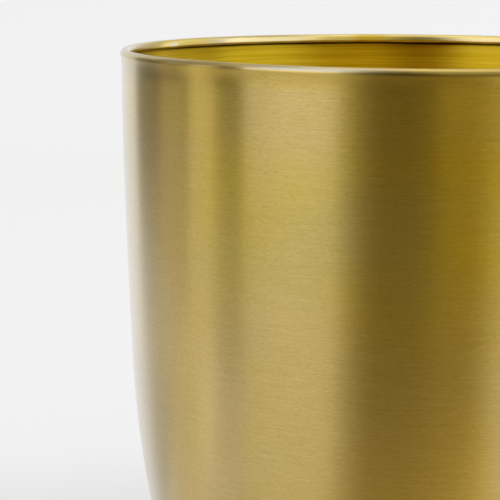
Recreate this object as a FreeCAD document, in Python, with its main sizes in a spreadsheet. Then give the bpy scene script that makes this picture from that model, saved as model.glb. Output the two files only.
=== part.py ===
import FreeCAD, Part
import Sketcher
import math
import os

os.makedirs("parts", exist_ok=True)
doc = FreeCAD.newDocument("cachepot")

# A round sheet-metal cachepot, spun in one piece from a single disc: a flat foot ring with a
# raised centre panel, a rounded heel, a gently bowed wall and a rim rolled inward round a wire.
# Four soft pads under the foot ring carry it. Axis on Z, the pads' undersides at Z zero.

# Driving dimensions, in millimetres and degrees
SIZES = {
    # the whole pot
    "rim_radius": 125.0,
    "pot_height": 240.0,
    "sheet_thickness": 0.7,
    # the rolled rim and the neck under it
    "roll_radius": 2.15,
    "roll_stand_out": 0.45,
    "roll_lip": 0.45,
    "neck_radius": 25.0,
    "neck_depth": 10.0,
    # the wall, in arcs that follow one another downward
    "upper_wall_radius": 1840.0,
    "upper_wall_depth": 55.1,
    "belly_start_depth": 134.4,
    "middle_wall_radius": 5555.0,
    "belly_radius": 487.0,
    "heel_radius": 50.0,
    "foot_radius": 20.0,
    "foot_lean_angle": 45.0,
    # the base
    "foot_ring_inner_radius": 62.0,
    "panel_rise": 3.0,
    "panel_bend_radius": 3.0,
    # the wire inside the roll
    "wire_clearance": 0.3,
    "wire_joint_angle": 0.7,
    # the pads
    "pad_radius": 8.0,
    "pad_thickness": 2.0,
    "pad_edge_chamfer": 0.4,
    "pad_circle_radius": 74.0,
    "first_pad_angle": 45.0,
}
PAD_COUNT = 4
FULL_TURN_ANGLE = 360.0

sheet = doc.addObject("Spreadsheet::Sheet", "Sizes")
for row, (alias, value) in enumerate(SIZES.items(), start=1):
    sheet.set("A%d" % row, alias)
    sheet.set("B%d" % row, str(value))
    sheet.setAlias("B%d" % row, alias)
doc.recompute()

WHOLE, START, END, CENTRE = range(4)
origin_index = -1
upright_axis_index = -2
UP = FreeCAD.Vector(0, 0, 1)


def flat(across, up):
    return FreeCAD.Vector(across, up, 0)


def lean_way(lean):
    return flat(math.cos(lean), -math.sin(lean))


def arc(centre, radius, first, last):
    return Part.ArcOfCircle(Part.Circle(centre, UP, radius), first, last)


def line(first, last):
    return Part.LineSegment(first, last)


# The inner face of the sheet as one path, from the axis out over the base, up the wall and
# round the roll. On an arc of the wall a point is named by how far the wall leans there.
thickness = SIZES["sheet_thickness"]
quarter = math.pi / 2
wall_reach = SIZES["rim_radius"] - SIZES["roll_stand_out"] - thickness
ring_level = SIZES["pad_thickness"] + thickness
panel_level = ring_level + SIZES["panel_rise"]

upper_radius = SIZES["upper_wall_radius"] - thickness
middle_radius = SIZES["middle_wall_radius"] - thickness
belly_radius = SIZES["belly_radius"] - thickness
heel_radius = SIZES["heel_radius"] - thickness
foot_radius = SIZES["foot_radius"] - thickness

neck_foot = flat(wall_reach, SIZES["pot_height"] - SIZES["neck_depth"])
upper_centre = neck_foot - flat(upper_radius, 0)
upper_drop = SIZES["upper_wall_depth"] - SIZES["neck_depth"]
upper_lean = math.asin(upper_drop / upper_radius)
middle_centre = upper_centre + lean_way(upper_lean) * (upper_radius - middle_radius)
middle_drop = SIZES["belly_start_depth"] - SIZES["upper_wall_depth"]
middle_lean = math.asin(math.sin(upper_lean) + middle_drop / middle_radius)
belly_centre = middle_centre + lean_way(middle_lean) * (middle_radius - belly_radius)

# The foot arc leaves the base ring and reaches a stated lean, and the heel arc joins it to the
# belly, wherever the belly then is.
foot_lean = math.radians(SIZES["foot_lean_angle"])
heel_level = ring_level + foot_radius + (heel_radius - foot_radius) * math.sin(foot_lean)
belly_lean = math.asin((belly_centre.y - heel_level) / (belly_radius - heel_radius))
heel_centre = belly_centre + lean_way(belly_lean) * (belly_radius - heel_radius)
foot_centre = heel_centre + lean_way(foot_lean) * (heel_radius - foot_radius)

roll_radius = SIZES["roll_radius"] - thickness
roll_centre = flat(
    SIZES["rim_radius"] - SIZES["roll_radius"], SIZES["pot_height"] - SIZES["roll_radius"]
)
neck_radius = SIZES["neck_radius"] + thickness
neck_reach = neck_radius + roll_radius
neck_turn = math.acos((neck_reach - SIZES["roll_stand_out"]) / neck_reach)
neck_top = flat(wall_reach, roll_centre.y - neck_reach * math.sin(neck_turn))
neck_centre = neck_top + flat(neck_radius, 0)
lip_offset = SIZES["roll_lip"] * roll_radius / SIZES["roll_radius"]
roll_end = 3 * quarter + math.asin(lip_offset / roll_radius)

panel_bend = SIZES["panel_bend_radius"] + thickness
ring_bend = SIZES["panel_bend_radius"] - thickness
bend_turn = math.acos(1 - SIZES["panel_rise"] / (panel_bend + ring_bend))
ring_start = flat(SIZES["foot_ring_inner_radius"], ring_level)
panel_end = flat(ring_start.x - (panel_bend + ring_bend) * math.sin(bend_turn), panel_level)

pieces = {
    "panel": line(flat(0, panel_level), panel_end),
    "panel_bend": arc(
        panel_end - flat(0, panel_bend), panel_bend, quarter - bend_turn, quarter
    ),
    "ring_bend": arc(
        ring_start + flat(0, ring_bend), ring_bend, 3 * quarter - bend_turn, 3 * quarter
    ),
    "ring": line(ring_start, flat(foot_centre.x, ring_level)),
    "foot": arc(foot_centre, foot_radius, -quarter, -foot_lean),
    "heel": arc(heel_centre, heel_radius, -foot_lean, -belly_lean),
    "belly": arc(belly_centre, belly_radius, -belly_lean, -middle_lean),
    "middle_wall": arc(middle_centre, middle_radius, -middle_lean, -upper_lean),
    "upper_wall": arc(upper_centre, upper_radius, -upper_lean, 0),
    "neck": line(neck_foot, neck_top),
    "neck_bend": arc(neck_centre, neck_radius, 2 * quarter - neck_turn, 2 * quarter),
    "roll": arc(roll_centre, roll_radius, -neck_turn, roll_end),
}
path = doc.addObject("Sketcher::SketchObject", "shell_path")
path.Placement = FreeCAD.Placement(
    FreeCAD.Vector(0, 0, 0), FreeCAD.Rotation(FreeCAD.Vector(1, 0, 0), 90)
)
number_of = {name: path.addGeometry(piece, False) for name, piece in pieces.items()}

# Neighbours meet end to start, except at the two bends that turn the other way.
turned = {"panel_bend", "neck_bend"}
names = list(pieces)
for name, following in zip(names, names[1:]):
    last = START if name in turned else END
    first = END if following in turned else START
    ends = (number_of[name], last, number_of[following], first)
    path.addConstraint(Sketcher.Constraint("Tangent", *ends))
path.addConstraint(Sketcher.Constraint("Horizontal", number_of["panel"]))
path.addConstraint(Sketcher.Constraint("Horizontal", number_of["ring"]))
path.addConstraint(Sketcher.Constraint("Vertical", number_of["neck"]))
path.addConstraint(
    Sketcher.Constraint("PointOnObject", number_of["panel"], START, upright_axis_index)
)


def drive(name, kind, places, value, formula):
    number = path.addConstraint(Sketcher.Constraint(kind, *places, value))
    path.renameConstraint(number, name)
    path.setExpression("Constraints." + name, formula)


def drive_radius(name, size, alias, sign):
    formula = "Sizes.%s %s Sizes.sheet_thickness" % (alias, sign)
    drive(name + "_size", "Radius", (number_of[name],), size, formula)


def drive_level(name, end, level, formula):
    places = (origin_index, START, number_of[name], end)
    drive(name + "_level", "DistanceY", places, level, formula)


def drive_reach(name, end, reach, formula):
    places = (origin_index, START, number_of[name], end)
    drive(name + "_reach", "DistanceX", places, reach, formula)


drive_radius("panel_bend", panel_bend, "panel_bend_radius", "+")
drive_radius("ring_bend", ring_bend, "panel_bend_radius", "-")
drive_radius("foot", foot_radius, "foot_radius", "-")
drive_radius("heel", heel_radius, "heel_radius", "-")
drive_radius("belly", belly_radius, "belly_radius", "-")
drive_radius("middle_wall", middle_radius, "middle_wall_radius", "-")
drive_radius("upper_wall", upper_radius, "upper_wall_radius", "-")
drive_radius("neck_bend", neck_radius, "neck_radius", "+")
drive_radius("roll", roll_radius, "roll_radius", "-")

ring_formula = "Sizes.pad_thickness + Sizes.sheet_thickness"
foot_rise = "(Sizes.foot_radius - Sizes.sheet_thickness) * (1 - sin(Sizes.foot_lean_angle * 1 deg))"
drive_level("neck", START, neck_foot.y, "Sizes.pot_height - Sizes.neck_depth")
drive_level(
    "upper_wall",
    START,
    SIZES["pot_height"] - SIZES["upper_wall_depth"],
    "Sizes.pot_height - Sizes.upper_wall_depth",
)
drive_level(
    "middle_wall",
    START,
    SIZES["pot_height"] - SIZES["belly_start_depth"],
    "Sizes.pot_height - Sizes.belly_start_depth",
)
drive_level(
    "heel",
    START,
    ring_level + foot_radius * (1 - math.sin(foot_lean)),
    ring_formula + " + " + foot_rise,
)
drive_level("ring", START, ring_level, ring_formula)
drive_level("panel", START, panel_level, ring_formula + " + Sizes.panel_rise")
drive_level("roll", CENTRE, roll_centre.y, "Sizes.pot_height - Sizes.roll_radius")
drive_reach("roll", CENTRE, roll_centre.x, "Sizes.rim_radius - Sizes.roll_radius")
drive_reach("ring", START, ring_start.x, "Sizes.foot_ring_inner_radius")
drive_reach(
    "neck",
    START,
    wall_reach,
    "Sizes.rim_radius - Sizes.roll_stand_out - Sizes.sheet_thickness",
)
drive(
    "lip_offset",
    "DistanceX",
    (number_of["roll"], CENTRE, number_of["roll"], END),
    lip_offset,
    "Sizes.roll_lip * (Sizes.roll_radius - Sizes.sheet_thickness) / Sizes.roll_radius",
)
doc.recompute()

# The sheet's thickness lies outside that path, and the section turns about the axis.
section = doc.addObject("Part::Offset2D", "shell_section")
section.Source = path
section.Mode = "Skin"
section.Fill = True
section.Join = "Arc"
section.setExpression("Value", "-Sizes.sheet_thickness")
shell = doc.addObject("Part::Revolution", "pot_shell")
shell.Label = "pot_shell"
shell.Source = section
shell.Axis = UP
shell.Angle = FULL_TURN_ANGLE
shell.Solid = True

# The wire that the rim is rolled round: a ring whose two ends nearly meet.
wire = doc.addObject("Part::Torus", "rim_wire")
wire.Label = "rim_wire"
wire.setExpression("Radius1", "Sizes.rim_radius - Sizes.roll_radius")
wire.setExpression(
    "Radius2", "Sizes.roll_radius - Sizes.sheet_thickness - Sizes.wire_clearance"
)
wire.setExpression("Angle3", "360 - Sizes.wire_joint_angle")
wire.setExpression("Placement.Base.z", "Sizes.pot_height - Sizes.roll_radius")

# The soft pads under the foot ring: flat discs with a chamfered lower edge.
pads = []
for index in range(PAD_COUNT):
    name = "foot_pad_%d" % (index + 1)
    body = doc.addObject("PartDesign::Body", name)
    body.Label = name
    planes = [plane for plane in body.Origin.OriginFeatures if plane.Role == "XY_Plane"]
    outline = body.newObject("Sketcher::SketchObject", name + "_outline")
    outline.AttachmentSupport = (planes[0], [""])
    outline.MapMode = "FlatFace"
    disc = outline.addGeometry(Part.Circle(flat(0, 0), UP, SIZES["pad_radius"]), False)
    outline.addConstraint(
        Sketcher.Constraint("Coincident", disc, CENTRE, origin_index, START)
    )
    number = outline.addConstraint(Sketcher.Constraint("Radius", disc, SIZES["pad_radius"]))
    outline.renameConstraint(number, "disc_size")
    outline.setExpression("Constraints.disc_size", "Sizes.pad_radius")
    block = body.newObject("PartDesign::Pad", name + "_block")
    block.Profile = outline
    block.setExpression("Length", "Sizes.pad_thickness")
    doc.recompute()
    middle = block.Shape.BoundBox.Center.z
    lower_edges = [
        "Edge%d" % (position + 1)
        for position, edge in enumerate(block.Shape.Edges)
        if edge.BoundBox.ZMax < middle
    ]
    chamfer = body.newObject("PartDesign::Chamfer", name + "_chamfer")
    chamfer.Base = (block, lower_edges)
    chamfer.setExpression("Size", "Sizes.pad_edge_chamfer")
    body.Tip = chamfer
    heading = "(Sizes.first_pad_angle + %g) * 1 deg" % (index * FULL_TURN_ANGLE / PAD_COUNT)
    body.setExpression("Placement.Base.x", "Sizes.pad_circle_radius * cos(%s)" % heading)
    body.setExpression("Placement.Base.y", "Sizes.pad_circle_radius * sin(%s)" % heading)
    pads.append(body)

doc.recompute()

nodes = [shell, wire] + pads
for item in doc.Objects:
    if "Invalid" in item.State or "Error" in item.State:
        raise RuntimeError("failed object: " + item.Name)
for node in nodes:
    if node.Shape.isNull() or not node.Shape.isValid():
        raise RuntimeError("bad shape: " + node.Label)

for node in nodes:
    node.Shape.exportStep("parts/" + node.Label + ".step")
    print(node.Label, "volume", round(node.Shape.Volume, 2), "solids", len(node.Shape.Solids))
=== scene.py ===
import math

import bpy
from mathutils import Matrix, Vector, noise


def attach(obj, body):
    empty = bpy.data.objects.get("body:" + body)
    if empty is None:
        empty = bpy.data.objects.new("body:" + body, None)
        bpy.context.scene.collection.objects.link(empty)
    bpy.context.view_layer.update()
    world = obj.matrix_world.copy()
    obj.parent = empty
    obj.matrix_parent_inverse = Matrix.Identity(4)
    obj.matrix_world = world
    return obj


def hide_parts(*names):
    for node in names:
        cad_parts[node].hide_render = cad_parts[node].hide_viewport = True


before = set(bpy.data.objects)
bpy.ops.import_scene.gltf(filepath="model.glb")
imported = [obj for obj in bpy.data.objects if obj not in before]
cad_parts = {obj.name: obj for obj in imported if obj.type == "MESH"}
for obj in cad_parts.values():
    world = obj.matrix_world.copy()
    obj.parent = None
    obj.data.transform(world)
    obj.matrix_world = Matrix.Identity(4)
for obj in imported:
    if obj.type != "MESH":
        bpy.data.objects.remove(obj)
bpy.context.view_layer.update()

# Sizes of the pot in metres, as in the solids
MM = 0.001
RIM_RADIUS = 125.0 * MM
POT_HEIGHT = 240.0 * MM
THICKNESS = 0.7 * MM
ROLL_RADIUS = 2.15 * MM
ROLL_STAND_OUT = 0.45 * MM
ROLL_LIP = 0.45 * MM
NECK_RADIUS = 25.0 * MM
NECK_DEPTH = 10.0 * MM
UPPER_WALL_RADIUS = 1840.0 * MM
UPPER_WALL_DEPTH = 55.1 * MM
BELLY_START_DEPTH = 134.4 * MM
MIDDLE_WALL_RADIUS = 5555.0 * MM
BELLY_RADIUS = 487.0 * MM
HEEL_RADIUS = 50.0 * MM
FOOT_RADIUS = 20.0 * MM
FOOT_LEAN = math.radians(45.0)
RING_INNER_RADIUS = 62.0 * MM
PANEL_RISE = 3.0 * MM
PANEL_BEND_RADIUS = 3.0 * MM
PAD_RADIUS = 8.0 * MM
PAD_THICKNESS = 2.0 * MM
PAD_CHAMFER = 0.4 * MM
PAD_CIRCLE_RADIUS = 74.0 * MM
FIRST_PAD_ANGLE = math.radians(45.0)
PAD_COUNT = 4

# How finely the pot is divided
TURN_STEPS = 360
PAD_STEPS = 64
PANEL_STEPS = 6
BEND_STEPS = 6
STRAIGHT_STEPS = 3
FOOT_STEPS = 10
HEEL_STEPS = 12
BELLY_STEPS = 12
MIDDLE_WALL_STEPS = 9
UPPER_WALL_STEPS = 7
NECK_STEPS = 6
ROLL_STEPS = 44
QUARTER = math.pi / 2


# Outline of the sheet, in its own plane: across from the axis, and up
def flat(across, up):
    return Vector((across, up))


def lean_way(lean):
    return flat(math.cos(lean), -math.sin(lean))


def arc_points(centre, radius, first, last, steps):
    span = last - first
    return [
        centre + flat(math.cos(first + span * i / steps), math.sin(first + span * i / steps)) * radius
        for i in range(steps + 1)
    ]


def straight_points(first, last):
    return [first.lerp(last, i / STRAIGHT_STEPS) for i in range(STRAIGHT_STEPS + 1)]


def sheet_path(inset):
    """One face of the sheet from the axis to the roll's free edge: inset 0 is the outer face."""
    wall = RIM_RADIUS - ROLL_STAND_OUT - inset
    ring_level = PAD_THICKNESS + inset
    panel_level = ring_level + PANEL_RISE
    upper, middle, belly, heel, foot = (
        size - inset
        for size in (UPPER_WALL_RADIUS, MIDDLE_WALL_RADIUS, BELLY_RADIUS, HEEL_RADIUS, FOOT_RADIUS)
    )
    neck_foot = flat(wall, POT_HEIGHT - NECK_DEPTH)
    upper_centre = neck_foot - flat(upper, 0)
    upper_lean = math.asin((UPPER_WALL_DEPTH - NECK_DEPTH) / upper)
    middle_centre = upper_centre + lean_way(upper_lean) * (upper - middle)
    middle_lean = math.asin(
        math.sin(upper_lean) + (BELLY_START_DEPTH - UPPER_WALL_DEPTH) / middle
    )
    belly_centre = middle_centre + lean_way(middle_lean) * (middle - belly)
    heel_level = ring_level + foot + (heel - foot) * math.sin(FOOT_LEAN)
    belly_lean = math.asin((belly_centre.y - heel_level) / (belly - heel))
    heel_centre = belly_centre + lean_way(belly_lean) * (belly - heel)
    foot_centre = heel_centre + lean_way(FOOT_LEAN) * (heel - foot)
    roll = ROLL_RADIUS - inset
    roll_centre = flat(RIM_RADIUS - ROLL_RADIUS, POT_HEIGHT - ROLL_RADIUS)
    neck = NECK_RADIUS + inset
    neck_reach = neck + roll
    neck_turn = math.acos((neck_reach - ROLL_STAND_OUT) / neck_reach)
    neck_top = flat(wall, roll_centre.y - neck_reach * math.sin(neck_turn))
    neck_centre = neck_top + flat(neck, 0)
    roll_end = 3 * QUARTER + math.asin(ROLL_LIP / ROLL_RADIUS)
    panel_bend = PANEL_BEND_RADIUS + inset
    ring_bend = PANEL_BEND_RADIUS - inset
    bends = panel_bend + ring_bend
    bend_turn = math.acos(1 - PANEL_RISE / bends)
    ring_start = flat(RING_INNER_RADIUS, ring_level)
    panel_end = flat(ring_start.x - bends * math.sin(bend_turn), panel_level)

    runs = [
        [flat(panel_end.x * i / PANEL_STEPS, panel_level) for i in range(PANEL_STEPS + 1)],
        arc_points(panel_end - flat(0, panel_bend), panel_bend, QUARTER, QUARTER - bend_turn, BEND_STEPS),
        arc_points(
            ring_start + flat(0, ring_bend), ring_bend, 3 * QUARTER - bend_turn, 3 * QUARTER, BEND_STEPS
        ),
        straight_points(ring_start, flat(foot_centre.x, ring_level)),
        arc_points(foot_centre, foot, -QUARTER, -FOOT_LEAN, FOOT_STEPS),
        arc_points(heel_centre, heel, -FOOT_LEAN, -belly_lean, HEEL_STEPS),
        arc_points(belly_centre, belly, -belly_lean, -middle_lean, BELLY_STEPS),
        arc_points(middle_centre, middle, -middle_lean, -upper_lean, MIDDLE_WALL_STEPS),
        arc_points(upper_centre, upper, -upper_lean, 0, UPPER_WALL_STEPS),
        straight_points(neck_foot, neck_top),
        arc_points(neck_centre, neck, 2 * QUARTER, 2 * QUARTER - neck_turn, NECK_STEPS),
        arc_points(roll_centre, roll, -neck_turn, roll_end, ROLL_STEPS),
    ]
    points = [runs[0][0]]
    for run in runs:
        points += run[1:]
    return points


def revolve(name, outline, material, steps, shape=None, centre=(0.0, 0.0)):
    """Turn an outline, whose two ends lie on the axis, about an upright axis into one closed mesh."""
    lengths = [0.0]
    for before, after in zip(outline, outline[1:]):
        lengths.append(lengths[-1] + (after - before).length)
    inner = outline[1:-1]
    verts = [(centre[0], centre[1], outline[0].y)]
    for j in range(steps):
        angle = 2 * math.pi * j / steps
        ahead, aside = math.cos(angle), math.sin(angle)
        for index, point in enumerate(inner, start=1):
            place = shape(index, point, angle) if shape else point
            verts.append((centre[0] + place.x * ahead, centre[1] + place.x * aside, place.y))
    verts.append((centre[0], centre[1], outline[-1].y))
    count = len(inner)
    top = len(verts) - 1
    faces, marks = [], []
    for j in range(steps):
        near, far = 1 + j * count, 1 + ((j + 1) % steps) * count
        faces.append((0, far, near))
        marks.append((0, 1, 1))
        for i in range(count - 1):
            faces.append((near + i, far + i, far + i + 1, near + i + 1))
            marks.append((i + 1, i + 1, i + 2, i + 2))
        faces.append((near + count - 1, far + count - 1, top))
        marks.append((count, count, count + 1))
    mesh = bpy.data.meshes.new(name)
    mesh.from_pydata(verts, [], faces)
    layer = mesh.uv_layers.new(name="along_sheet")
    # the map's second coordinate is the length along the sheet, in metres
    corner = 0
    for number, mark in enumerate(marks):
        turn = (number // (count + 1)) / steps
        for place in mark:
            layer.data[corner].uv = (turn, lengths[place])
            corner += 1
    mesh.polygons.foreach_set("use_smooth", [True] * len(mesh.polygons))
    mesh.materials.append(material)
    piece = bpy.data.objects.new(name, mesh)
    bpy.context.scene.collection.objects.link(piece)
    return piece


# Materials
def shader(name):
    material = bpy.data.materials.new(name)
    material.use_nodes = True
    return material, material.node_tree, material.node_tree.nodes["Principled BSDF"]


def node(tree, kind, **settings):
    made = tree.nodes.new(kind)
    for key, value in settings.items():
        setattr(made, key, value)
    return made


def feed(tree, socket, value):
    """Link a socket's value, or set a number."""
    if isinstance(value, bpy.types.NodeSocket):
        tree.links.new(value, socket)
    else:
        socket.default_value = value


def calc(tree, operation, *values):
    made = node(tree, "ShaderNodeMath", operation=operation)
    for socket, value in zip(made.inputs, values):
        feed(tree, socket, value)
    return made.outputs[0]


def ease(tree, value, first, last, low=0.0, high=1.0):
    """Smooth passage from low to high while value goes from first to last."""
    made = node(tree, "ShaderNodeMapRange", interpolation_type="SMOOTHSTEP")
    feed(tree, made.inputs["Value"], value)
    feed(tree, made.inputs["From Min"], first)
    feed(tree, made.inputs["From Max"], last)
    feed(tree, made.inputs["To Min"], low)
    feed(tree, made.inputs["To Max"], high)
    return made.outputs["Result"]


def vector(tree, x, y, z):
    made = node(tree, "ShaderNodeCombineXYZ")
    for socket, value in zip(made.inputs, (x, y, z)):
        feed(tree, socket, value)
    return made.outputs[0]


def split(tree, source):
    made = node(tree, "ShaderNodeSeparateXYZ")
    feed(tree, made.inputs[0], source)
    return made.outputs


def cloud(tree, where, scale, detail, roughness=0.5):
    """Smooth noise, about 0 to 1 with its middle at 0.5."""
    made = node(tree, "ShaderNodeTexNoise")
    feed(tree, made.inputs["Vector"], where)
    feed(tree, made.inputs["Scale"], scale)
    feed(tree, made.inputs["Detail"], detail)
    feed(tree, made.inputs["Roughness"], roughness)
    return made.outputs["Fac"]


def blend(tree, share, first, second):
    made = node(tree, "ShaderNodeMix", data_type="RGBA")
    feed(tree, made.inputs["Factor"], share)
    feed(tree, made.inputs["A"], first)
    feed(tree, made.inputs["B"], second)
    return made.outputs["Result"]


def bumped(tree, height, strength, distance):
    """Normals of a fine relief."""
    bump = node(tree, "ShaderNodeBump")
    bump.inputs["Strength"].default_value = strength
    bump.inputs["Distance"].default_value = distance
    feed(tree, bump.inputs["Height"], height)
    return bump.outputs["Normal"]


def product(tree, *factors):
    """Multiply values, each a socket or a number."""
    result = factors[0]
    for factor in factors[1:]:
        result = calc(tree, "MULTIPLY", result, factor)
    return result


def left_over(tree, share):
    return calc(tree, "SUBTRACT", 1.0, share)


def zone(tree, value, limits, before=0.0, after=0.0):
    """1 between the middle two limits, easing down to before and after at the outer two."""
    starts, full, fades, gone = limits
    rise = ease(tree, value, starts, full, before, 1.0)
    return calc(tree, "MULTIPLY", rise, ease(tree, value, fades, gone, 1.0, after))


def layered(tree, tone, base, *layers):
    """Lay pairs of bright and deep colours over a base pair, and take the tone between the two."""
    ends = []
    for end in range(2):
        colour = base[end]
        for share, pair in layers:
            colour = blend(tree, share, colour, pair[end])
        ends.append(colour)
    bright, deep = ends
    return blend(tree, tone, deep, bright)


# Brass: pairs of colours for the bright and the deep end of the brushing
PLAIN_BRASS = ((0.79, 0.580, 0.190, 1.0), (0.53, 0.355, 0.050, 1.0))
GOLDEN_BRASS = ((0.81, 0.588, 0.110, 1.0), (0.55, 0.360, 0.014, 1.0))
WARM_BRASS = ((0.89, 0.625, 0.02, 1.0), (0.60, 0.39, 0.001, 1.0))
PALE_BRASS = ((0.87, 0.65, 0.285, 1.0), (0.61, 0.42, 0.11, 1.0))
# painted shade: the wall's colour low at the far left
SHADED_BRASS = ((0.69, 0.505, 0.155, 1.0), (0.46, 0.31, 0.04, 1.0))
STAINED_BRASS = ((0.70, 0.57, 0.23, 1.0), (0.46, 0.35, 0.08, 1.0))
INSIDE_BRASS = ((0.94, 0.685, 0.036, 1.0), (0.68, 0.45, 0.003, 1.0))
# painted light: the inside is lighter at the left
INSIDE_LIT_LEFT_BRASS = ((1.0, 0.75, 0.04, 1.0), (0.84, 0.575, 0.006, 1.0))

# The roll's colours
# painted highlight: the roll's outer top is painted pale so that its shine reads whitish, paler at the left
PALE_ROLL_HIGHLIGHT = (0.50, 0.445, 0.26, 1.0)
PALE_ROLL_HIGHLIGHT_LEFT = (0.74, 0.655, 0.375, 1.0)
ROLL_INSIDE = (0.73, 0.575, 0.16, 1.0)
GOLDEN_ROLL_INSIDE = (0.86, 0.635, 0.085, 1.0)
# painted shade on the roll's inside near the middle, less further right
SHADED_ROLL_INSIDE = (0.62, 0.45, 0.03, 1.0)
# painted shade just under the roll, right of the front
STRIP_SHADE = (0.64, 0.445, 0.06, 1.0)
# painted shade on the wall below the roll, at the left
BELOW_ROLL_SHADE = (0.45, 0.285, 0.015, 1.0)
# painted light on the crease under the roll, at the left
CREASE_LIGHT = (0.98, 0.73, 0.24, 1.0)
# painted shade higher on the roll, at the left
ROLL_LEFT_SHADE = (0.48, 0.37, 0.09, 1.0)
# painted shade on the roll's face, right of the front
FACE_SHADE = (0.30, 0.225, 0.06, 1.0)
# painted glint on the far part of the roll
PAINTED_GLINT = (0.74, 0.68, 0.50, 1.0)
# painted shade for the dark line where the roll closes on the wall
PAINTED_CREVICE_SHADE = (0.065, 0.035, 0.004, 1.0)

# How strongly each tone or mark shows
GOLDEN_SHARE_BEHIND = 0.4
HAZY_SHARE_ABOVE = 0.5
FADED_SHARE = 0.55
WARM_SHARE = 0.7
VALLEY_SHARE = 0.4
PALE_SHARE = 0.85
STAIN_SHARE = 0.5
STRIP_SHARE = 0.6
BELOW_SHARE = 0.75
BELOW_SHARES_LEFT = (0.3, 0.15)
BELOW_SHARES_VALLEY = (0.15, 0.75)
CREASE_SHARE = 0.9
ROLL_LEFT_SHADE_SHARE = 0.8
FACE_SHARE = 0.85
ROLL_HIGHLIGHT_SHARES = (0.25, 0.3)
GOLDEN_END_SHARE = 0.35
DEEP_END_SHARE = 0.4

# Where they lie, in metres across the pot and up: where a zone starts, is full, fades and is gone.
# With two places, it only starts and is full, or only fades and is gone.
FRONT_AWAY = (-0.016, 0.010)
FRONT_ACROSS = (0.050, 0.090)
HAZY_UP = (0.190, 0.218, 0.2295, 0.2345)
HAZY_ACROSS = (-0.080, -0.066, -0.044, -0.030)
GOLDEN_UP = (0.145, 0.175)
FADED_UP = (0.205, 0.220)
FADED_ACROSS = (-0.092, -0.080)
WARM_UP = (0.115, 0.175, 0.200, 0.220)
WARM_ACROSS = (-0.046, -0.026)
VALLEY_UP = (0.130, 0.170, 0.202, 0.220)
VALLEY_ACROSS = (-0.087, -0.077, -0.074, -0.064)
PALE_UP = (0.105, 0.145)
PALE_ACROSS = (-0.091, -0.083, -0.079, -0.066)
SHADED_UP = (0.092, 0.126)
SHADED_ACROSS = (-0.098, -0.088)
ROLL_HIGHLIGHT_ACROSS = (-0.088, -0.055, -0.030, -0.008)
HIGHLIGHT_LEFT_ACROSS = (-0.078, -0.058)
GOLDEN_END_ACROSS = (-0.123, -0.110, -0.094, -0.084)
DEEP_END_ACROSS = (-0.020, -0.010, -0.004, 0.006)
INSIDE_LEFT_ACROSS = (-0.098, -0.085)
STRIP_ACROSS = (-0.056, -0.036, -0.030, -0.016)
BELOW_LEFT_ACROSS = (-0.115, -0.108, -0.098, -0.093)
BELOW_VALLEY_ACROSS = (-0.090, -0.081, -0.079, -0.072)
CREASE_ACROSS = (-0.114, -0.106, -0.075, -0.066)
ROLL_LEFT_SHADE_ACROSS = (-0.121, -0.112, -0.084, -0.072)
FACE_ACROSS = (-0.045, -0.013)

# Painted shade and light by the roll, and the roll's regions, in metres along the sheet from the roll's
# start
STRIP_RUN = (-5.0 * MM, -2.5 * MM, -0.5 * MM, 0.5 * MM)
BELOW_RUN = (-9.5 * MM, -3.5 * MM, 0.2 * MM, 0.8 * MM)
CREASE_RUN = (0.5 * MM, 1.1 * MM, 1.9 * MM, 2.6 * MM)
ROLL_LEFT_SHADE_RUN = (2.0 * MM, 2.6 * MM, 3.2 * MM, 4.2 * MM)
FACE_RUN = (-0.5 * MM, 0.5 * MM, 1.5 * MM, 2.3 * MM)
ROLLED_RUN = (-1.0 * MM, 1.5 * MM)
TURNED_IN_RUN = (0.6 * MM, 2.0 * MM)
INSIDE_BLUR = 0.4 * MM
HIGHLIGHT_START_BLUR = 0.4 * MM
HIGHLIGHT_END_BLUR = 0.8 * MM

# Painted shade where the roll closes on the wall: a dark line with a ragged edge; the hem closes higher at
# the left
CREVICE_SHADE_ROLL_BLUR = 0.3 * MM
CREVICE_SHADE_WALL_BLUR = (-0.4 * MM, 0.5 * MM)
RAGGED = 0.8 * MM
RAGGED_RATE = 26.0
RAGGED_DETAIL = 1.5
HEM_LIFT = 0.8 * MM
HEM_LIFT_END_SHARE = 0.68

# A painted glint: a small pale patch on the far part of the roll
GLINT_BEARING = math.radians(150.8)
GLINT_LENGTH = 2.2 * MM
GLINT_HEIGHT = 0.7 * MM
GLINT_RADIUS = RIM_RADIUS - 2 * ROLL_RADIUS
GLINT_DEPTH = 1.05 * ROLL_RADIUS
GLINT_PLACE = (
    GLINT_RADIUS * math.cos(GLINT_BEARING), GLINT_RADIUS * math.sin(GLINT_BEARING),
    POT_HEIGHT - GLINT_DEPTH,
)
GLINT_EDGE = (-0.1, 1.8)
GLINT_UNEVEN = 1.6
GLINT_UNEVEN_RATE = 900.0
GLINT_UNEVEN_DETAIL = 1.0

# Brushing: marks per metre along the turn and across it, and how much each kind counts
SHORT_MARKS = (480.0, 2300.0)
LONG_MARKS = (70.0, 1900.0)
INSIDE_MARKS = (14.0, 1300.0)
SHORT_PART = 0.6
LONG_PART = 0.4
MARK_DETAIL = 2.0
MARK_ROUGHNESS = 0.6
WANDER = 3.0 * MM
WANDER_RATE = 25.0
WANDER_DETAIL = 1.0
WALL_GAIN = 1.5
ROLL_GAIN = 0.6
INSIDE_GAIN = 2.2
PATCH_RATE = 18.0
PATCH_DETAIL = 3.0
PATCH_GAIN = 0.30
STAIN_RATE = 11.0
STAIN_DETAIL = 2.0
STAIN_EDGE = (0.5, 0.72)

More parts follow.
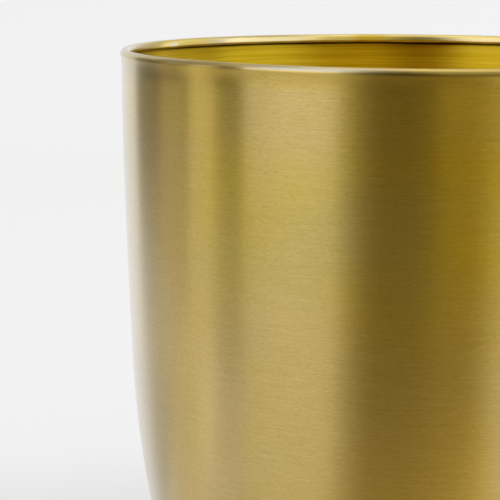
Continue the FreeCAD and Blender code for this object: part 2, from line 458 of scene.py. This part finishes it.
# Surface
OUTSIDE_ROUGHNESS = 0.28
INSIDE_ROUGHNESS = 0.39
ROUGHNESS_GAIN = 0.025
ANISOTROPY = 0.97
ALONG_THE_TURN = 0.25
MARK_HEIGHT = 0.02 * MM
MARK_STRENGTH = 0.10
COAT_ROUGHNESS = 0.22
COAT_IOR = 2.0
ROLL_COAT = 0.3
FACING_COAT = 0.36
SLANTED_COAT = 1.0
COAT_SLANT = (0.42, 0.72)
ROLL_INSIDE_COAT = 1.0
TINTED_END_COAT = 0.5


def brushed_marks(tree, place, run, inside):
    """Marks round the turn, finer and shorter outside than inside."""
    x, y = split(tree, place)[:2]
    # a slow wander makes the marks slightly oblique
    wander = cloud(tree, place, WANDER_RATE, WANDER_DETAIL)
    slide = calc(tree, "MULTIPLY_ADD", wander, WANDER, run)

    def marks(rates, along):
        turn_rate, cross_rate = rates
        turned = (product(tree, part, turn_rate) for part in (x, y))
        where = vector(tree, *turned, product(tree, along, cross_rate))
        return cloud(tree, where, 1.0, MARK_DETAIL, MARK_ROUGHNESS)

    short = product(tree, marks(SHORT_MARKS, slide), SHORT_PART)
    long = product(tree, marks(LONG_MARKS, run), LONG_PART)
    outer_marks = product(tree, calc(tree, "ADD", short, long), left_over(tree, inside))
    return calc(tree, "ADD", outer_marks, product(tree, marks(INSIDE_MARKS, run), inside))


def wall_colour(tree, place, tone, front):
    """Colour of the outer wall, with its zones of lacquer, fading and stains, and painted shade low at the
    left.
    """
    x, _, z = split(tree, place)
    stained = ease(tree, cloud(tree, place, STAIN_RATE, STAIN_DETAIL), *STAIN_EDGE, 0.0, STAIN_SHARE)
    # the lacquer is deeper on the upper wall, but for a hazy patch below the rim and the left side
    hazy = product(tree, zone(tree, z, HAZY_UP, after=HAZY_SHARE_ABOVE), zone(tree, x, HAZY_ACROSS))
    faded = product(
        tree, ease(tree, x, *FADED_ACROSS, FADED_SHARE, 0.0), ease(tree, z, *FADED_UP, 1.0, 0.0)
    )
    golden = product(
        tree, ease(tree, z, *GOLDEN_UP), left_over(tree, hazy), left_over(tree, faded),
        ease(tree, front, 0.0, 1.0, GOLDEN_SHARE_BEHIND, 1.0),
    )
    # it is warmest right of the front and in a narrow zone at the left, palest low on the left
    warm_right = product(tree, ease(tree, x, *WARM_ACROSS, 0.0, WARM_SHARE), zone(tree, z, WARM_UP))
    warm_left = product(tree, VALLEY_SHARE, zone(tree, x, VALLEY_ACROSS), zone(tree, z, VALLEY_UP))
    warm = product(tree, calc(tree, "MAXIMUM", warm_right, warm_left), front)
    pale = product(tree, ease(tree, z, *PALE_UP, PALE_SHARE, 0.0), zone(tree, x, PALE_ACROSS), front)
    # painted shade: the wall is darker low at the far left
    shaded = product(
        tree, ease(tree, z, *SHADED_UP, 1.0, 0.0), ease(tree, x, *SHADED_ACROSS, 1.0, 0.0), front
    )
    return layered(
        tree, tone, PLAIN_BRASS, (golden, GOLDEN_BRASS), (warm, WARM_BRASS),
        (pale, PALE_BRASS), (shaded, SHADED_BRASS), (stained, STAINED_BRASS),
    )


def glint_share(tree, place):
    """How much of the painted glint shows: a small flat patch with an uneven edge."""
    offset = node(tree, "ShaderNodeVectorMath", operation="SUBTRACT")
    feed(tree, offset.inputs[0], place)
    offset.inputs[1].default_value = GLINT_PLACE
    across, along, rise = (calc(tree, "ABSOLUTE", part) for part in split(tree, offset.outputs[0]))
    away = calc(
        tree, "ADD",
        calc(tree, "POWER", calc(tree, "DIVIDE", across, GLINT_LENGTH), 2.0),
        calc(tree, "POWER", calc(tree, "DIVIDE", rise, GLINT_HEIGHT), 2.0),
    )
    centred = calc(tree, "SUBTRACT", cloud(tree, place, GLINT_UNEVEN_RATE, GLINT_UNEVEN_DETAIL), 0.5)
    edge = calc(tree, "MULTIPLY_ADD", centred, GLINT_UNEVEN, away)
    near = ease(tree, along, GLINT_LENGTH, 2 * GLINT_LENGTH, 1.0, 0.0)
    return product(tree, near, ease(tree, edge, *GLINT_EDGE, 1.0, 0.0))


def brass_material(outline_lengths):
    """Brass sheet brushed round the turn under a clear lacquer; its brushing shows less on the roll, and
    painted shade, painted light, a painted highlight and a painted glint lie on it.
    """
    material, tree, surface = shader("brushed_brass_detailed")
    place = node(tree, "ShaderNodeTexCoord").outputs["Object"]
    x, y = split(tree, place)[:2]
    layer = node(tree, "ShaderNodeUVMap", uv_map="along_sheet")
    run = split(tree, layer.outputs["UV"])[1]

    # the sheet's regions, by the length run along it from the underside's centre
    roll_start, highlight_start, highlight_end, roll_shade, inner_start, inner_shade = outline_lengths
    inside = ease(tree, run, inner_start - INSIDE_BLUR, inner_start + INSIDE_BLUR)
    on_roll = ease(tree, run, roll_start + ROLLED_RUN[0], roll_start + ROLLED_RUN[1])
    rolled = product(tree, on_roll, left_over(tree, inside))
    turned_in = ease(tree, run, highlight_end + TURNED_IN_RUN[0], highlight_end + TURNED_IN_RUN[1])
    # the side that the photograph shows
    front = product(tree, ease(tree, y, *FRONT_AWAY, 1.0, 0.0), ease(tree, x, *FRONT_ACROSS, 1.0, 0.0))

    # brushing and slow patches
    brushing = brushed_marks(tree, place, run, inside)
    patches = cloud(tree, place, PATCH_RATE, PATCH_DETAIL)
    gain = ease(tree, inside, 0.0, 1.0, ease(tree, rolled, 0.0, 1.0, WALL_GAIN, ROLL_GAIN), INSIDE_GAIN)
    tone = calc(
        tree, "ADD",
        calc(tree, "MULTIPLY_ADD", calc(tree, "SUBTRACT", brushing, 0.5), gain, 0.5),
        product(tree, calc(tree, "SUBTRACT", patches, 0.5), PATCH_GAIN),
    )

    # the roll: its outer top is painted pale, most at the front left of the middle: a painted highlight, so
    # that its shine reads whitish
    golden_end = zone(tree, x, GOLDEN_END_ACROSS, before=GOLDEN_END_SHARE)
    # painted shade: the roll's inside is deeper near the middle, less further right
    shaded_end = zone(tree, x, DEEP_END_ACROSS, after=DEEP_END_SHARE)
    roll_inside = blend(tree, shaded_end, ROLL_INSIDE, SHADED_ROLL_INSIDE)
    roll_inside = blend(tree, golden_end, roll_inside, GOLDEN_ROLL_INSIDE)
    highlight_limits = (
        highlight_start - HIGHLIGHT_START_BLUR, highlight_start + HIGHLIGHT_START_BLUR,
        highlight_end - HIGHLIGHT_END_BLUR, highlight_end + HIGHLIGHT_END_BLUR,
    )
    # painted highlight over the roll's outer top
    roll_highlight = product(tree, zone(tree, run, highlight_limits), zone(tree, x, ROLL_HIGHLIGHT_ACROSS, *ROLL_HIGHLIGHT_SHARES))
    roll_highlight_colour = blend(tree, ease(tree, x, *HIGHLIGHT_LEFT_ACROSS), PALE_ROLL_HIGHLIGHT_LEFT, PALE_ROLL_HIGHLIGHT)
    outside = blend(tree, turned_in, wall_colour(tree, place, tone, front), roll_inside)
    outside = blend(tree, roll_highlight, outside, roll_highlight_colour)

    def mark(share, limits, across):
        from_roll = tuple(roll_start + limit for limit in limits)
        return product(tree, share, zone(tree, run, from_roll), across, front)

    # right of the front the sheet is painted deeper just under the roll and on the roll's face, painted
    # shade;
    # at the left the wall below the roll and the roll above the crease are painted darker, painted shade,
    # and the crease under the roll is painted paler, painted light
    below_left = zone(tree, x, BELOW_LEFT_ACROSS, *BELOW_SHARES_LEFT)
    starts, full, fades, gone = BELOW_VALLEY_ACROSS
    below_valley = product(
        tree, ease(tree, x, starts, full, *BELOW_SHARES_VALLEY), ease(tree, x, fades, gone, 1.0, 0.0)
    )
    for share, colour in (
        (mark(STRIP_SHARE, STRIP_RUN, zone(tree, x, STRIP_ACROSS)), STRIP_SHADE),
        (mark(BELOW_SHARE, BELOW_RUN, calc(tree, "MAXIMUM", below_left, below_valley)), BELOW_ROLL_SHADE),
        (mark(CREASE_SHARE, CREASE_RUN, zone(tree, x, CREASE_ACROSS)), CREASE_LIGHT),
        (mark(ROLL_LEFT_SHADE_SHARE, ROLL_LEFT_SHADE_RUN, zone(tree, x, ROLL_LEFT_SHADE_ACROSS)), ROLL_LEFT_SHADE),
        (mark(FACE_SHARE, FACE_RUN, ease(tree, x, *FACE_ACROSS)), FACE_SHADE),
    ):
        outside = blend(tree, share, outside, colour)

    # the inside of the pot, painted lighter at the left: painted light
    at_left = ease(tree, x, *INSIDE_LEFT_ACROSS, 1.0, 0.0)
    clean = blend(tree, inside, outside, layered(tree, tone, INSIDE_BRASS, (at_left, INSIDE_LIT_LEFT_BRASS)))
    # a painted glint on the far part of the roll
    with_glint = blend(tree, product(tree, glint_share(tree, place), rolled), clean, PAINTED_GLINT)

    # painted shade: a dark line where the roll closes on the wall
    uneven_edge = calc(tree, "SUBTRACT", cloud(tree, place, RAGGED_RATE, RAGGED_DETAIL), 0.5)
    ragged = product(tree, uneven_edge, RAGGED)
    lifted = ease(tree, x, -RIM_RADIUS, -HEM_LIFT_END_SHARE * RIM_RADIUS, HEM_LIFT, 0.0)
    seam = calc(tree, "ADD", calc(tree, "ADD", run, ragged), lifted)
    crevice_shaded = zone(tree, seam, (
        roll_shade - CREVICE_SHADE_ROLL_BLUR, roll_shade + CREVICE_SHADE_ROLL_BLUR,
        inner_shade + CREVICE_SHADE_WALL_BLUR[0], inner_shade + CREVICE_SHADE_WALL_BLUR[1],
    ))
    feed(tree, surface.inputs["Base Color"], blend(tree, crevice_shaded, with_glint, PAINTED_CREVICE_SHADE))
    surface.inputs["Metallic"].default_value = 1.0

    # roughness: smoother outside, a little uneven everywhere
    plain = ease(tree, inside, 0.0, 1.0, OUTSIDE_ROUGHNESS, INSIDE_ROUGHNESS)
    uneven = product(tree, calc(tree, "ADD", brushing, patches), ROUGHNESS_GAIN)
    feed(tree, surface.inputs["Roughness"], calc(tree, "ADD", plain, uneven))
    surface.inputs["Anisotropic"].default_value = ANISOTROPY
    surface.inputs["Anisotropic Rotation"].default_value = ALONG_THE_TURN
    tangent = node(tree, "ShaderNodeTangent", direction_type="RADIAL", axis="Z")
    feed(tree, surface.inputs["Tangent"], tangent.outputs["Tangent"])
    feed(tree, surface.inputs["Normal"], bumped(tree, brushing, MARK_STRENGTH, MARK_HEIGHT))

    # lacquer outside only, thinner to the eye where the wall faces it
    slant = node(tree, "ShaderNodeLayerWeight").outputs["Facing"]
    wall_coat = ease(tree, slant, *COAT_SLANT, FACING_COAT, SLANTED_COAT)
    tinted_end = calc(tree, "MAXIMUM", golden_end, shaded_end)
    inside_coat = ease(tree, tinted_end, 0.0, 1.0, ROLL_INSIDE_COAT, TINTED_END_COAT)
    outer_coat = ease(tree, rolled, 0.0, 1.0, wall_coat, ROLL_COAT)
    coat = ease(tree, turned_in, 0.0, 1.0, outer_coat, inside_coat)
    feed(tree, surface.inputs["Coat Weight"], product(tree, left_over(tree, inside), coat))
    surface.inputs["Coat Roughness"].default_value = COAT_ROUGHNESS
    surface.inputs["Coat IOR"].default_value = COAT_IOR
    return material


# Rubber and wire
RUBBER_DARK = (0.022, 0.022, 0.023, 1.0)
RUBBER_DUSTY = (0.075, 0.070, 0.064, 1.0)
RUBBER_GRAIN_RATE = 1500.0
RUBBER_GRAIN_DETAIL = 3.0
RUBBER_GRAIN_HEIGHT = 0.06 * MM
RUBBER_GRAIN_STRENGTH = 0.5
RUBBER_ROUGHNESS = (0.58, 0.82)
DUST_RATE = 90.0
DUST_DETAIL = 4.0
DUST_ROUGHNESS = 0.65
DUST_EDGE = (0.45, 0.75)
UNEVEN_EDGE = (0.3, 0.7)
WIRE_DARK = (0.36, 0.35, 0.33, 1.0)
WIRE_BRIGHT = (0.55, 0.54, 0.52, 1.0)
WIRE_ROUGHNESS = (0.28, 0.45)
DRAWN_RATES = (40.0, 40.0, 4000.0)
DRAWN_DETAIL = 2.0


def rubber_material():
    """Soft dark rubber with a fine matt grain and a little dust."""
    material, tree, surface = shader("pad_rubber_detailed")
    place = node(tree, "ShaderNodeTexCoord").outputs["Object"]
    grain = cloud(tree, place, RUBBER_GRAIN_RATE, RUBBER_GRAIN_DETAIL)
    dust = cloud(tree, place, DUST_RATE, DUST_DETAIL, DUST_ROUGHNESS)
    dusty = ease(tree, dust, *DUST_EDGE)
    feed(tree, surface.inputs["Base Color"], blend(tree, dusty, RUBBER_DARK, RUBBER_DUSTY))
    feed(tree, surface.inputs["Roughness"], ease(tree, dust, *UNEVEN_EDGE, *RUBBER_ROUGHNESS))
    feed(tree, surface.inputs["Normal"], bumped(tree, grain, RUBBER_GRAIN_STRENGTH, RUBBER_GRAIN_HEIGHT))
    return material


def wire_material():
    """Drawn steel wire: grey, with fine marks along its length."""
    material, tree, surface = shader("wire_steel_detailed")
    place = node(tree, "ShaderNodeTexCoord").outputs["Object"]
    scaled = (product(tree, part, rate) for part, rate in zip(split(tree, place), DRAWN_RATES))
    drawn = cloud(tree, vector(tree, *scaled), 1.0, DRAWN_DETAIL)
    feed(tree, surface.inputs["Base Color"], blend(tree, drawn, WIRE_DARK, WIRE_BRIGHT))
    surface.inputs["Metallic"].default_value = 1.0
    feed(tree, surface.inputs["Roughness"], ease(tree, drawn, *UNEVEN_EDGE, *WIRE_ROUGHNESS))
    return material


# The pot
# The roll is a little uneven by hand: its hem waves, and a few small dents mark it.
HEM_WAVE = 0.22 * MM
HEM_WAVE_RATE = 9.0
HEM_WAVE_START_SHARE = 0.4
HEM_WAVE_INWARD_SHARE = 0.35
HEM_FINE_WAVE_SHARE = 0.5
HEM_FINE_WAVE_TIMES = 2.7
HEM_WAVE_GROWTH = 1.5
# over part of the turn the roll is pressed out of round and bulges towards the pot's middle
HEM_BULGE_SHARE = 0.25
HEM_BULGE_TURN = math.radians(208.0)
HEM_BULGE_SPREAD = math.radians(21.0)
# bearings round the pot: the pressed stretch's middle, and how far it runs at full and at all
PRESSED_MIDDLE = math.radians(92.0)
PRESSED_FULL = math.radians(60.0)
PRESSED_END = math.radians(86.0)
# elsewhere the hem's edge is higher
HEM_RISE = 0.5 * MM
WALL_WAVE = 0.035 * MM
WALL_WAVE_RATE = 24.0
# dents: bearing round the pot in degrees, half width along the rim, depth
DENTS = (
    (148.7, 1.8 * MM, 0.16 * MM),
    (211.0, 3.0 * MM, 0.14 * MM),
    (193.5, 3.5 * MM, 0.18 * MM),
)
# a dent is followed out to this many half widths
DENT_REACH = 3.0

outer = sheet_path(0.0)
inner_face = sheet_path(THICKNESS)
outline = outer + list(reversed(inner_face))
roll_first = len(outer) - 1 - ROLL_STEPS
roll_shares = [max(0.0, (index - roll_first) / ROLL_STEPS) for index in range(len(outer))]
roll_shares += list(reversed(roll_shares))


def hand_shape(index, point, angle):
    """Move an outline point a little, so that wall and rolled rim aren't perfectly true."""
    share = roll_shares[index]
    if index < roll_first:
        round_wall = Vector((point.x * math.cos(angle), point.x * math.sin(angle), point.y))
        return point - flat(WALL_WAVE * (0.5 + 0.5 * noise.noise(round_wall * WALL_WAVE_RATE)), 0)
    if share <= 0.0:
        return point
    centre = flat(RIM_RADIUS - ROLL_RADIUS, POT_HEIGHT - ROLL_RADIUS)
    turned = math.atan2(point.y - centre.y, point.x - centre.x) % (2 * math.pi)
    off = (turned - HEM_BULGE_TURN) / HEM_BULGE_SPREAD
    aside = abs((angle - PRESSED_MIDDLE + math.pi) % (2 * math.pi) - math.pi)
    fade = min(1.0, max(0.0, (PRESSED_END - aside) / (PRESSED_END - PRESSED_FULL)))
    pressed = fade * fade * (3 - 2 * fade)
    bulge = pressed * HEM_BULGE_SHARE * ROLL_RADIUS * math.exp(-off * off)
    point = point + (point - centre).normalized() * bulge
    spot = Vector((math.cos(angle), math.sin(angle), 0.0)) * HEM_WAVE_RATE
    sway = noise.noise(spot) + HEM_FINE_WAVE_SHARE * noise.noise(spot * HEM_FINE_WAVE_TIMES)
    late = max(0.0, (share - HEM_WAVE_START_SHARE) / (1.0 - HEM_WAVE_START_SHARE)) ** HEM_WAVE_GROWTH
    wave = late * HEM_WAVE * sway
    moved = point + flat(HEM_WAVE_INWARD_SHARE * wave, wave + late * (1 - pressed) * HEM_RISE)
    for bearing, width, depth in DENTS:
        away = (angle - math.radians(bearing) + math.pi) % (2 * math.pi) - math.pi
        reach = away * RIM_RADIUS / width
        if abs(reach) < DENT_REACH:
            pull = depth * math.exp(-reach * reach) * math.sin(math.pi * share)
            moved += (centre - moved).normalized() * pull
    return moved


def run_to(count):
    """Length along the outline up to its point number count."""
    steps = zip(outline[:count], outline[1:count + 1])
    return sum((after - before).length for before, after in steps)


# where the roll's painted highlight starts and ends, as shares of the roll
HIGHLIGHT_START_SHARE = 0.09
HIGHLIGHT_END_SHARE = 0.28
# where the painted shade of the roll's closing starts on the roll and how deep it runs down the wall
CREVICE_SHADE_ROLL_SHARE = 0.80
CREVICE_SHADE_DEPTH = 5.1 * MM
inner_first = len(outer)
roll_shade_index = roll_first + round(CREVICE_SHADE_ROLL_SHARE * ROLL_STEPS)
inner_roll_end = inner_first + ROLL_STEPS
inner_shade_run = run_to(inner_roll_end) + (outline[inner_roll_end].y - (POT_HEIGHT - CREVICE_SHADE_DEPTH))
brass = brass_material((
    run_to(roll_first),
    run_to(roll_first + round(HIGHLIGHT_START_SHARE * ROLL_STEPS)),
    run_to(roll_first + round(HIGHLIGHT_END_SHARE * ROLL_STEPS)),
    run_to(roll_shade_index), run_to(inner_first), inner_shade_run,
))
pot = revolve("pot_shell_detailed", outline, brass, TURN_STEPS, hand_shape)
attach(pot, "root")
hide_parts("pot_shell")

# Pads and wire
rubber = rubber_material()
PAD_BOTTOM_SHARES = (0.0, 0.3, 0.6, 0.85)
PAD_TOP_SHARES = (1.0, 0.5, 0.0)
pad_edge = arc_points(flat(PAD_RADIUS - PAD_CHAMFER, PAD_CHAMFER), PAD_CHAMFER, -QUARTER, 0, BEND_STEPS)
pad_bottom = [flat(PAD_RADIUS * share, 0) for share in PAD_BOTTOM_SHARES]
pad_top = [flat(PAD_RADIUS * share, PAD_THICKNESS) for share in PAD_TOP_SHARES]
pad_outline = pad_bottom + pad_edge + pad_top
for number in range(PAD_COUNT):
    bearing = FIRST_PAD_ANGLE + 2 * math.pi * number / PAD_COUNT
    pad = revolve(
        "foot_pad_%d_detailed" % (number + 1), pad_outline, rubber, PAD_STEPS,
        centre=(PAD_CIRCLE_RADIUS * math.cos(bearing), PAD_CIRCLE_RADIUS * math.sin(bearing)),
    )
    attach(pad, "root")
    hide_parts("foot_pad_%d" % (number + 1))
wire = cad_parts["rim_wire"]
steel = wire_material()
for material_slot in wire.material_slots:
    material_slot.material = steel

# Camera
# Fitted to the rim's ellipse: distances in rim radii from the axis and above the rim.
CAMERA_LEFT_SHARE = 0.55005
CAMERA_BACK_SHARE = 4.86928
CAMERA_ABOVE_SHARE = 0.28241
CAMERA_PITCH = 0.20282
CAMERA_ROLL = math.radians(0.25)
CAMERA_LENS = 100.0
CAMERA_SENSOR = 36.0
camera_data = bpy.data.cameras.new("camera")
camera_data.lens = CAMERA_LENS
camera_data.sensor_width = CAMERA_SENSOR
camera = bpy.data.objects.new("camera", camera_data)
turn = Matrix.Rotation(QUARTER - CAMERA_PITCH, 4, "X") @ Matrix.Rotation(CAMERA_ROLL, 4, "Z")
camera.matrix_world = Matrix.Translation((
    -CAMERA_LEFT_SHARE * RIM_RADIUS,
    -CAMERA_BACK_SHARE * RIM_RADIUS,
    POT_HEIGHT + CAMERA_ABOVE_SHARE * RIM_RADIUS,
)) @ turn
bpy.context.scene.collection.objects.link(camera)
bpy.context.scene.camera = camera

# Stage and light
# Everything here is plain studio dressing: a pale sweep, large soft lamps, a dim warm room.
STAGE_COLOUR = (0.26, 0.26, 0.26, 1.0)
# painted shade: the paper before the pot, as the pot mirrors it, is darker
FRONT_SHADE_COLOUR = (0.16, 0.13, 0.07, 1.0)
STAGE_ROUGHNESS = 0.9
PLAIN_TINT = (1.0, 1.0, 1.0, 1.0)
BACK_TINT = (0.95, 1.0, 1.12, 1.0)
FRONT_TINT = (1.0, 0.87, 0.40, 1.0)
# glow of the paper: as seen by the camera, and as mirrored behind, beside and before the pot
SEEN_GLOW = 0.750
SEEN_MIDDLE_DROP = 0.055
# painted shadow: the camera sees the paper darker close before the pot
SEEN_NEAR_SHADOW = 0.08
BACK_GLOW = 0.745
SIDE_GLOW = 0.50
SIDE_FAR_SHARE = 0.2
SIDE_NEAR_DROP = 0.08
SIDE_AHEAD_RISE = 0.09
SIDE_AHEAD_SHARE = 0.35
BESIDE_RISE = 0.19
PAST_RISE = 0.11
FRONT_GLOW = 0.29
FRONT_FAR_SHARE = 0.1
# places on the paper, in metres: away from the camera, across, and as a reach from the pot's axis
SEEN_AWAY = (0.10, 1.60)
SEEN_NEAR_AWAY = (0.04, 0.17)
BACK_EDGE_REACH = (0.16, 0.40)
BACK_EDGE_STARTS = (-0.030, -0.07)
BACK_EDGE_END = 0.008
BACK_NEAR_REACH = (0.14, 0.32)
BACK_NEAR_SHARE = 0.7
BACK_RIGHT_ACROSS = (0.15, 0.7)
BACK_RIGHT_SHARE = 0.6
SIDE_REACH = (0.3, 1.6)
SIDE_NEAR_REACH = (0.15, 0.45)
SIDE_AHEAD_REACH = (0.25, 0.45)
PAST_REACH = (0.20, 0.34)
PAST_MIDDLE_REACH = (0.20, 0.70)
FRONT_REACH = (0.15, 0.7)
LEAST_REACH = 0.01
# directions from the pot's axis: 1 is straight towards the camera, 0 to the side, -1 straight away
FRONT_AHEAD = (0.86, 0.97)
SIDE_AHEAD = (0.0, 0.5, 0.8)
BESIDE_AHEAD = (-0.19, -0.03, 0.16, 0.37)
PAST_MIDDLES_AHEAD = (-0.04, -0.30)
PAST_OFF_AHEAD = (0.08, 0.22)
# the line behind which the paper is lit fully: its slope, starting at the pot's left side
LINE_ACROSS = 0.755
LINE_AWAY = 0.656
SWEEP_FRONT = -3.0
SWEEP_BACK = 1.8
SWEEP_BEND = 0.5
SWEEP_TOP = 2.2
SWEEP_HALF_WIDTH = 3.0
SWEEP_STEPS = 24


def total(tree, *terms):
    """Add values, each a socket or a number."""
    result = terms[0]
    for term in terms[1:]:
        result = calc(tree, "ADD", result, term)
    return result


def mirrored_paper(tree, place):
    """What the pot mirrors of the paper: its glow, and how far a place is before or behind the pot."""
    x, y = split(tree, place)[:2]
    from_left_side = total(tree, x, RIM_RADIUS)
    behind = total(tree, product(tree, from_left_side, LINE_ACROSS), product(tree, y, LINE_AWAY))
    reach = calc(tree, "SQRT", total(tree, product(tree, x, x), product(tree, y, y)))
    ahead = calc(tree, "DIVIDE", product(tree, y, -1.0), calc(tree, "MAXIMUM", reach, LEAST_REACH))
    back = product(
        tree,
        ease(tree, behind, ease(tree, reach, *BACK_EDGE_REACH, *BACK_EDGE_STARTS), BACK_EDGE_END),
        ease(tree, reach, *BACK_NEAR_REACH, BACK_NEAR_SHARE, 1.0),
        ease(tree, x, *BACK_RIGHT_ACROSS, 1.0, BACK_RIGHT_SHARE),
    )
    front = ease(tree, ahead, *FRONT_AHEAD)

    # beside the pot: brighter a little ahead of it, straight beside it and in a band that runs back
    starts, full, gone = SIDE_AHEAD
    side_ahead = product(
        tree, ease(tree, ahead, starts, full, 0.0, SIDE_AHEAD_RISE),
        ease(tree, ahead, full, gone, 1.0, SIDE_AHEAD_SHARE),
        ease(tree, reach, *SIDE_AHEAD_REACH, 1.0, 0.0),
    )
    past_middle = ease(tree, reach, *PAST_MIDDLE_REACH, *PAST_MIDDLES_AHEAD)
    past_off = calc(tree, "ABSOLUTE", calc(tree, "SUBTRACT", ahead, past_middle))
    past = product(tree, ease(tree, past_off, *PAST_OFF_AHEAD, 1.0, 0.0), ease(tree, reach, *PAST_REACH))
    side_glow = total(
        tree,
        ease(tree, reach, *SIDE_REACH, SIDE_GLOW, SIDE_FAR_SHARE * SIDE_GLOW),
        ease(tree, reach, *SIDE_NEAR_REACH, -SIDE_NEAR_DROP, 0.0),
        side_ahead,
        product(tree, zone(tree, ahead, BESIDE_AHEAD), BESIDE_RISE),
        product(tree, past, PAST_RISE),
    )

    front_glow = ease(tree, reach, *FRONT_REACH, FRONT_GLOW, FRONT_FAR_SHARE * FRONT_GLOW)
    around = total(tree, product(tree, side_glow, left_over(tree, front)), product(tree, front, front_glow))
    glow = total(tree, product(tree, around, left_over(tree, back)), product(tree, back, BACK_GLOW))
    return glow, front, back


def stage_material():
    """Pale matt paper. Camera, mirror and glass rays see it lifted; lamps and shadow act on it."""
    material, tree, surface = shader("stage_paper")
    surface.inputs["Roughness"].default_value = STAGE_ROUGHNESS
    surface.inputs["Specular IOR Level"].default_value = 0.0
    path = node(tree, "ShaderNodeLightPath").outputs
    place = node(tree, "ShaderNodeNewGeometry").outputs["Position"]
    y = split(tree, place)[1]
    mirrored = calc(tree, "MAXIMUM", path["Is Glossy Ray"], path["Is Transmission Ray"])
    glossy_glow, front, back = mirrored_paper(tree, place)
    # seen by the camera, with a painted shadow close before the pot
    seen_glow = total(
        tree,
        ease(tree, y, *SEEN_AWAY, SEEN_GLOW - SEEN_MIDDLE_DROP, SEEN_GLOW),
        ease(tree, y, *SEEN_NEAR_AWAY, -SEEN_NEAR_SHADOW, 0.0),
    )
    glow = total(
        tree, product(tree, path["Is Camera Ray"], seen_glow), product(tree, mirrored, glossy_glow)
    )
    # painted shade: mirrored, the paper before the pot is darker
    paper = blend(tree, product(tree, mirrored, front), STAGE_COLOUR, FRONT_SHADE_COLOUR)
    tint = blend(tree, front, blend(tree, back, PLAIN_TINT, BACK_TINT), FRONT_TINT)
    feed(tree, surface.inputs["Base Color"], paper)
    feed(tree, surface.inputs["Emission Color"], blend(tree, mirrored, PLAIN_TINT, tint))
    feed(tree, surface.inputs["Emission Strength"], glow)
    return material


def sweep(name, material):
    """A floor that bends up into a backdrop."""
    bend = arc_points(flat(SWEEP_BACK - SWEEP_BEND, SWEEP_BEND), SWEEP_BEND, -QUARTER, 0, SWEEP_STEPS)
    profile = [flat(SWEEP_FRONT, 0)] + bend + [flat(SWEEP_BACK, SWEEP_TOP)]
    sides = (-SWEEP_HALF_WIDTH, SWEEP_HALF_WIDTH)
    verts = [(side, point.x, point.y) for side in sides for point in profile]
    count = len(profile)
    faces = [(i, count + i, count + i + 1, i + 1) for i in range(count - 1)]
    mesh = bpy.data.meshes.new(name)
    mesh.from_pydata(verts, [], faces)
    mesh.polygons.foreach_set("use_smooth", [True] * len(mesh.polygons))
    mesh.materials.append(material)
    made = bpy.data.objects.new(name, mesh)
    bpy.context.scene.collection.objects.link(made)


sweep("stage_sweep", stage_material())

LAMP_DISTANCE = 1.6
ABOVE_DISTANCE = 0.1
AIM_HEIGHT = 0.12
PLAIN_WHITE = (1.0, 1.0, 1.0)
COOL_WHITE = (0.93, 0.985, 1.22)
FRONT_WHITE = (0.94, 0.99, 1.45)
LEFT_WHITE = (0.96, 0.985, 1.16)
WARM_WHITE = (1.0, 0.90, 0.40)
# lamps: azimuth in degrees from the camera's side towards -X, distance from the pot's axis, level,
# width, height, radiance, colour
LAMPS = {
    "box_front_left": (49.8, LAMP_DISTANCE, 1.04, 1.325, 1.95, 1.36, FRONT_WHITE),
    "box_front_left_core": (47.0, LAMP_DISTANCE, 1.02, 0.66, 1.9, 0.20, FRONT_WHITE),
    "box_left": (88.0, LAMP_DISTANCE, 0.30, 0.385, 1.0, 0.71, LEFT_WHITE),
    "box_left_rear": (105.5, LAMP_DISTANCE, 0.40, 0.42, 1.1, 0.27, LEFT_WHITE),
    "box_right": (-67.0, LAMP_DISTANCE, 0.95, 1.40, 1.5, 1.45, COOL_WHITE),
    "box_right_front": (-24.0, LAMP_DISTANCE, 1.2, 1.34, 1.9, 0.61, WARM_WHITE),
    "box_right_rear": (-111.0, LAMP_DISTANCE, 1.0, 1.5, 1.6, 0.86, COOL_WHITE),
    "box_above": (180.0, ABOVE_DISTANCE, 1.9, 1.3, 1.3, 0.9, PLAIN_WHITE),
}


def softbox(name, azimuth, distance, level, width, height, radiance, colour):
    """An area lamp that faces the pot."""
    data = bpy.data.lights.new(name, "AREA")
    data.shape = "RECTANGLE"
    data.size = width
    data.size_y = height
    data.energy = radiance * width * height * math.pi
    data.color = colour
    lamp = bpy.data.objects.new(name, data)
    bearing = math.radians(azimuth)
    place = Vector((-math.sin(bearing) * distance, -math.cos(bearing) * distance, level))
    lamp.location = place
    lamp.rotation_euler = (Vector((0, 0, AIM_HEIGHT)) - place).to_track_quat("-Z", "Y").to_euler()
    lamp.visible_camera = False
    bpy.context.scene.collection.objects.link(lamp)


for lamp_name, settings in LAMPS.items():
    softbox(lamp_name, *settings)

# the room: dim and warm at eye level, paler towards the ceiling
ROOM_LOW = (0.045, 0.033, 0.012, 1.0)
ROOM_HIGH = (0.72, 0.68, 0.55, 1.0)
ROOM_SEEN = (0.88, 0.88, 0.88, 1.0)
ROOM_RISE = (0.42, 1.0)
world = bpy.data.worlds.new("world")
world.use_nodes = True
bpy.context.scene.world = world
room = world.node_tree
height = split(room, node(room, "ShaderNodeTexCoord").outputs["Generated"])[2]
background = room.nodes["Background"]
lighting = blend(room, ease(room, height, *ROOM_RISE), ROOM_LOW, ROOM_HIGH)
straight = node(room, "ShaderNodeLightPath").outputs["Is Camera Ray"]
feed(room, background.inputs["Color"], blend(room, straight, lighting, ROOM_SEEN))
background.inputs["Strength"].default_value = 1.0

bpy.context.scene.view_settings.view_transform = "Standard"
